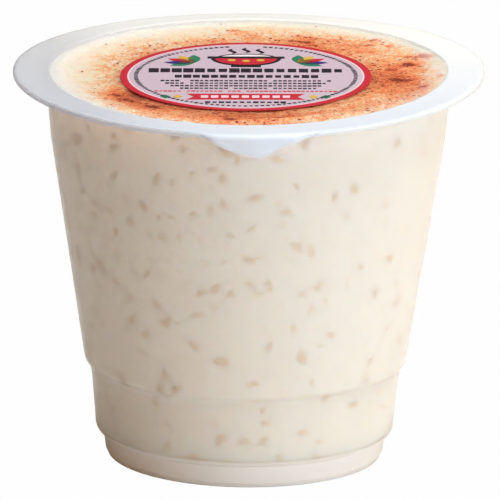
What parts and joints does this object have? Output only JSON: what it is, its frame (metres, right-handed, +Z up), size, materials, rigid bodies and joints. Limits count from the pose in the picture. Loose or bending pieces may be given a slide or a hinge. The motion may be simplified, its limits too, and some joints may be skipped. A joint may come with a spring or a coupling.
{
  "type": "cup of rice pudding",
  "caption": "Single-serving cup of rice pudding: frosted tapered plastic cup with a flange, clear sealed film over cinnamon-dusted pudding, a round label and a pull tab.",
  "frame": {"origin": "centre of the circle that the cup stands on, at the underside of the foot", "axes": "+Z up along the cup's axis; the pull tab hangs at the front, at -Y; +X to the right seen from the front"},
  "size_m": [0.088, 0.0889, 0.0738],
  "materials": {
    "frosted_plastic": "translucent, milky, soft satin",
    "pudding": "cream with soft rice grains, slightly moist",
    "rice_grain": "soft cooked grain, a little darker than the pudding",
    "cinnamon": "dry ground spice",
    "clear_film": "clear glossy film",
    "printed_label": "printed paper with a red border, satin"
  },
  "bodies": {
    "root": {"cup": "frosted_plastic", "pudding": "pudding", "film_lid": "clear_film", "label": "printed_label"}
  },
  "joints": []
}
